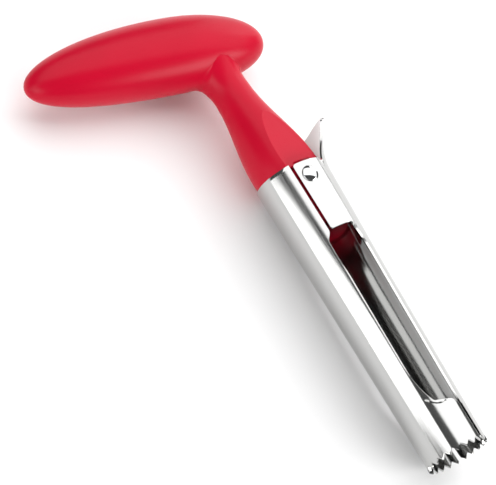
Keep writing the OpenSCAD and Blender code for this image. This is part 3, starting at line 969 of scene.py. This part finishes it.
class CORER_OT_stage(bpy.types.Operator):
    """Sets the white floor, the soft lights and the camera"""

    bl_idname = "corer.stage"
    bl_label = "Stage"

    def execute(self, context):
        stage = context.scene.corer_stage
        bm = bmesh.new()
        bmesh.ops.create_grid(bm, x_segments=1, y_segments=1, size=4.0)
        mesh = bpy.data.meshes.new("floor")
        bm.to_mesh(mesh)
        bm.free()
        mesh.materials.append(bpy.data.materials["matt white card"])
        floor = bpy.data.objects.new("floor", mesh)
        context.collection.objects.link(floor)
        self.lights(stage)
        world = bpy.data.worlds.new("dim studio")
        world.use_nodes = True
        surround = world.node_tree.nodes["Background"]
        surround.inputs["Color"].default_value = (1.0, 1.0, 1.0, 1.0)
        surround.inputs["Strength"].default_value = stage.dim
        context.scene.world = world
        context.scene.view_settings.view_transform = "Standard"
        self.camera(context, stage)
        return {"FINISHED"}

    def lights(self, stage):
        """The five soft lights, which stand round the corer and over it."""
        along = Vector((1, 0, 0))
        forward = Vector((0, 1, 0))
        down = Vector((0, 0, -1))
        slanted = Vector((math.cos(stage.top_turn), math.sin(stage.top_turn), 0))
        end_facing = Vector((-0.85, -0.53, 0)).normalized()
        end_across = end_facing.cross(Vector((0, 0, 1)))
        # A narrow standing strip behind gives the rear shell its long white band, with a dark line beside it.
        self.softbox("rear strip light", stage.rear_light, (-0.165, -0.9, 0.6), (0.19, 1.2), along, forward)
        # The slanted panel overhead lights the floor, the ears and the foot.
        self.softbox("overhead softbox", stage.top_light, (-0.46, 0.72, 0.8), (2.36, 1.5), slanted, down)
        # The front softbox lights the jaw's strip and the thumb tab.
        self.softbox("front softbox", stage.front_light, (-0.68, 1.05, 0.38), (1.0, 0.66), along, -forward)
        # The end softbox gives the grip its soft highlight, and the low one fills the handle's lower side.
        self.softbox("end softbox", stage.end_light, (0.7, 0.49, 0.44), (0.66, 0.4), end_across, end_facing)
        self.softbox("low softbox", stage.low_light, (0.46, -0.95, 0.36), (0.9, 0.62), along, forward)

    def softbox(self, name, power, place, size_xy, across, facing):
        """A rectangular area light; across is the direction of its width, and facing the way that it shines."""
        light = bpy.data.lights.new(name, "AREA")
        light.shape = "RECTANGLE"
        light.size, light.size_y = size_xy
        light.energy = power
        lamp = bpy.data.objects.new(name, light)
        axes = Matrix((across, across.cross(facing), -facing)).transposed()
        lamp.matrix_world = Matrix.Translation(place) @ axes.to_4x4()
        lamp.visible_camera = False
        bpy.context.collection.objects.link(lamp)

    def camera(self, context, stage):
        """The camera looks down on the corer from behind its rear shell."""
        data = bpy.data.cameras.new("camera")
        data.sensor_width = 36.0
        data.lens = stage.lens
        data.clip_start = 0.05
        data.clip_end = 20.0
        camera = bpy.data.objects.new("camera", data)
        context.collection.objects.link(camera)
        out = Vector(stage.camera_out).normalized()
        right = Vector(stage.camera_turn)
        right = (right - out * right.dot(out)).normalized()
        up = out.cross(right)
        camera.matrix_world = Matrix.Translation(stage.camera_at) @ Matrix((right, up, out)).transposed().to_4x4()
        context.scene.camera = camera


class CORER_PT_panel(bpy.types.Panel):
    """Lists the corer's pieces in the sidebar"""

    bl_idname = "CORER_PT_panel"
    bl_label = "Apple corer"
    bl_space_type = "VIEW_3D"
    bl_region_type = "UI"
    bl_category = "Corer"

    def draw(self, context):
        for operator in OPERATORS:
            self.layout.operator(operator.bl_idname)
        for name in GROUPS:
            box = self.layout.box()
            group = getattr(context.scene, name)
            for prop in group.__annotations__:
                box.prop(group, prop)


GROUPS = {
    "corer_tube": CorerTube,
    "corer_tab": CorerTab,
    "corer_handle": CorerHandle,
    "corer_rivet": CorerRivet,
    "corer_finish": CorerFinish,
    "corer_stage": CorerStage,
}
OPERATORS = (CORER_OT_finishes, CORER_OT_stage, CORER_OT_handle, CORER_OT_rear_shell, CORER_OT_jaw,
             CORER_OT_rivet)


def register():
    for name, group in GROUPS.items():
        bpy.utils.register_class(group)
        setattr(bpy.types.Scene, name, PointerProperty(type=group))
    for operator in OPERATORS:
        bpy.utils.register_class(operator)
    bpy.utils.register_class(CORER_PT_panel)


def unregister():
    bpy.utils.unregister_class(CORER_PT_panel)
    for operator in reversed(OPERATORS):
        bpy.utils.unregister_class(operator)
    for name, group in reversed(GROUPS.items()):
        delattr(bpy.types.Scene, name)
        bpy.utils.unregister_class(group)


def main():
    register()
    bpy.ops.corer.finishes()
    bpy.ops.corer.stage()
    bpy.ops.corer.handle()
    bpy.ops.corer.rear_shell()
    bpy.ops.corer.jaw()
    bpy.ops.corer.rivet()


if __name__ == "__main__":
    main()
